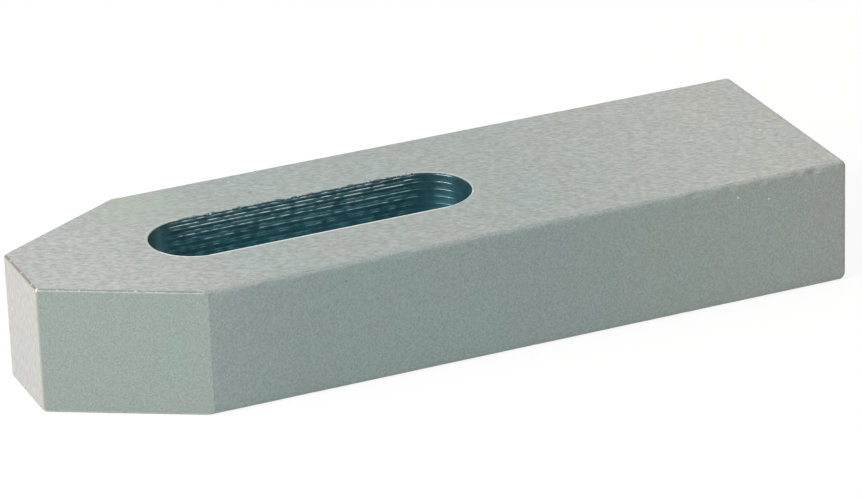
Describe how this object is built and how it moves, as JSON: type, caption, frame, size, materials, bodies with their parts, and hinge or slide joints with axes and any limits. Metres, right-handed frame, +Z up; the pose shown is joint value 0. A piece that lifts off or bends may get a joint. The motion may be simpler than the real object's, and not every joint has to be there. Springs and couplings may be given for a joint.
{
  "type": "strap clamp",
  "caption": "Flat steel strap clamp with a tapered nose and one long slot for a clamping stud, used to hold a workpiece down on a machine table.",
  "frame": {"origin": "centre of the clamp's plan on its underside", "axes": "+Z up through the thickness, +Y along the bar from the tapered nose to the sawn rear end, +X across the bar"},
  "size_m": [0.05, 0.16, 0.025],
  "materials": {
    "clamp_bar": "pale grey-green lacquer over heat-treated steel, slightly rough; the slot wall is bare machined steel under a thin dark film"
  },
  "bodies": {
    "root": {"clamp_bar": "clamp_bar"}
  },
  "joints": []
}
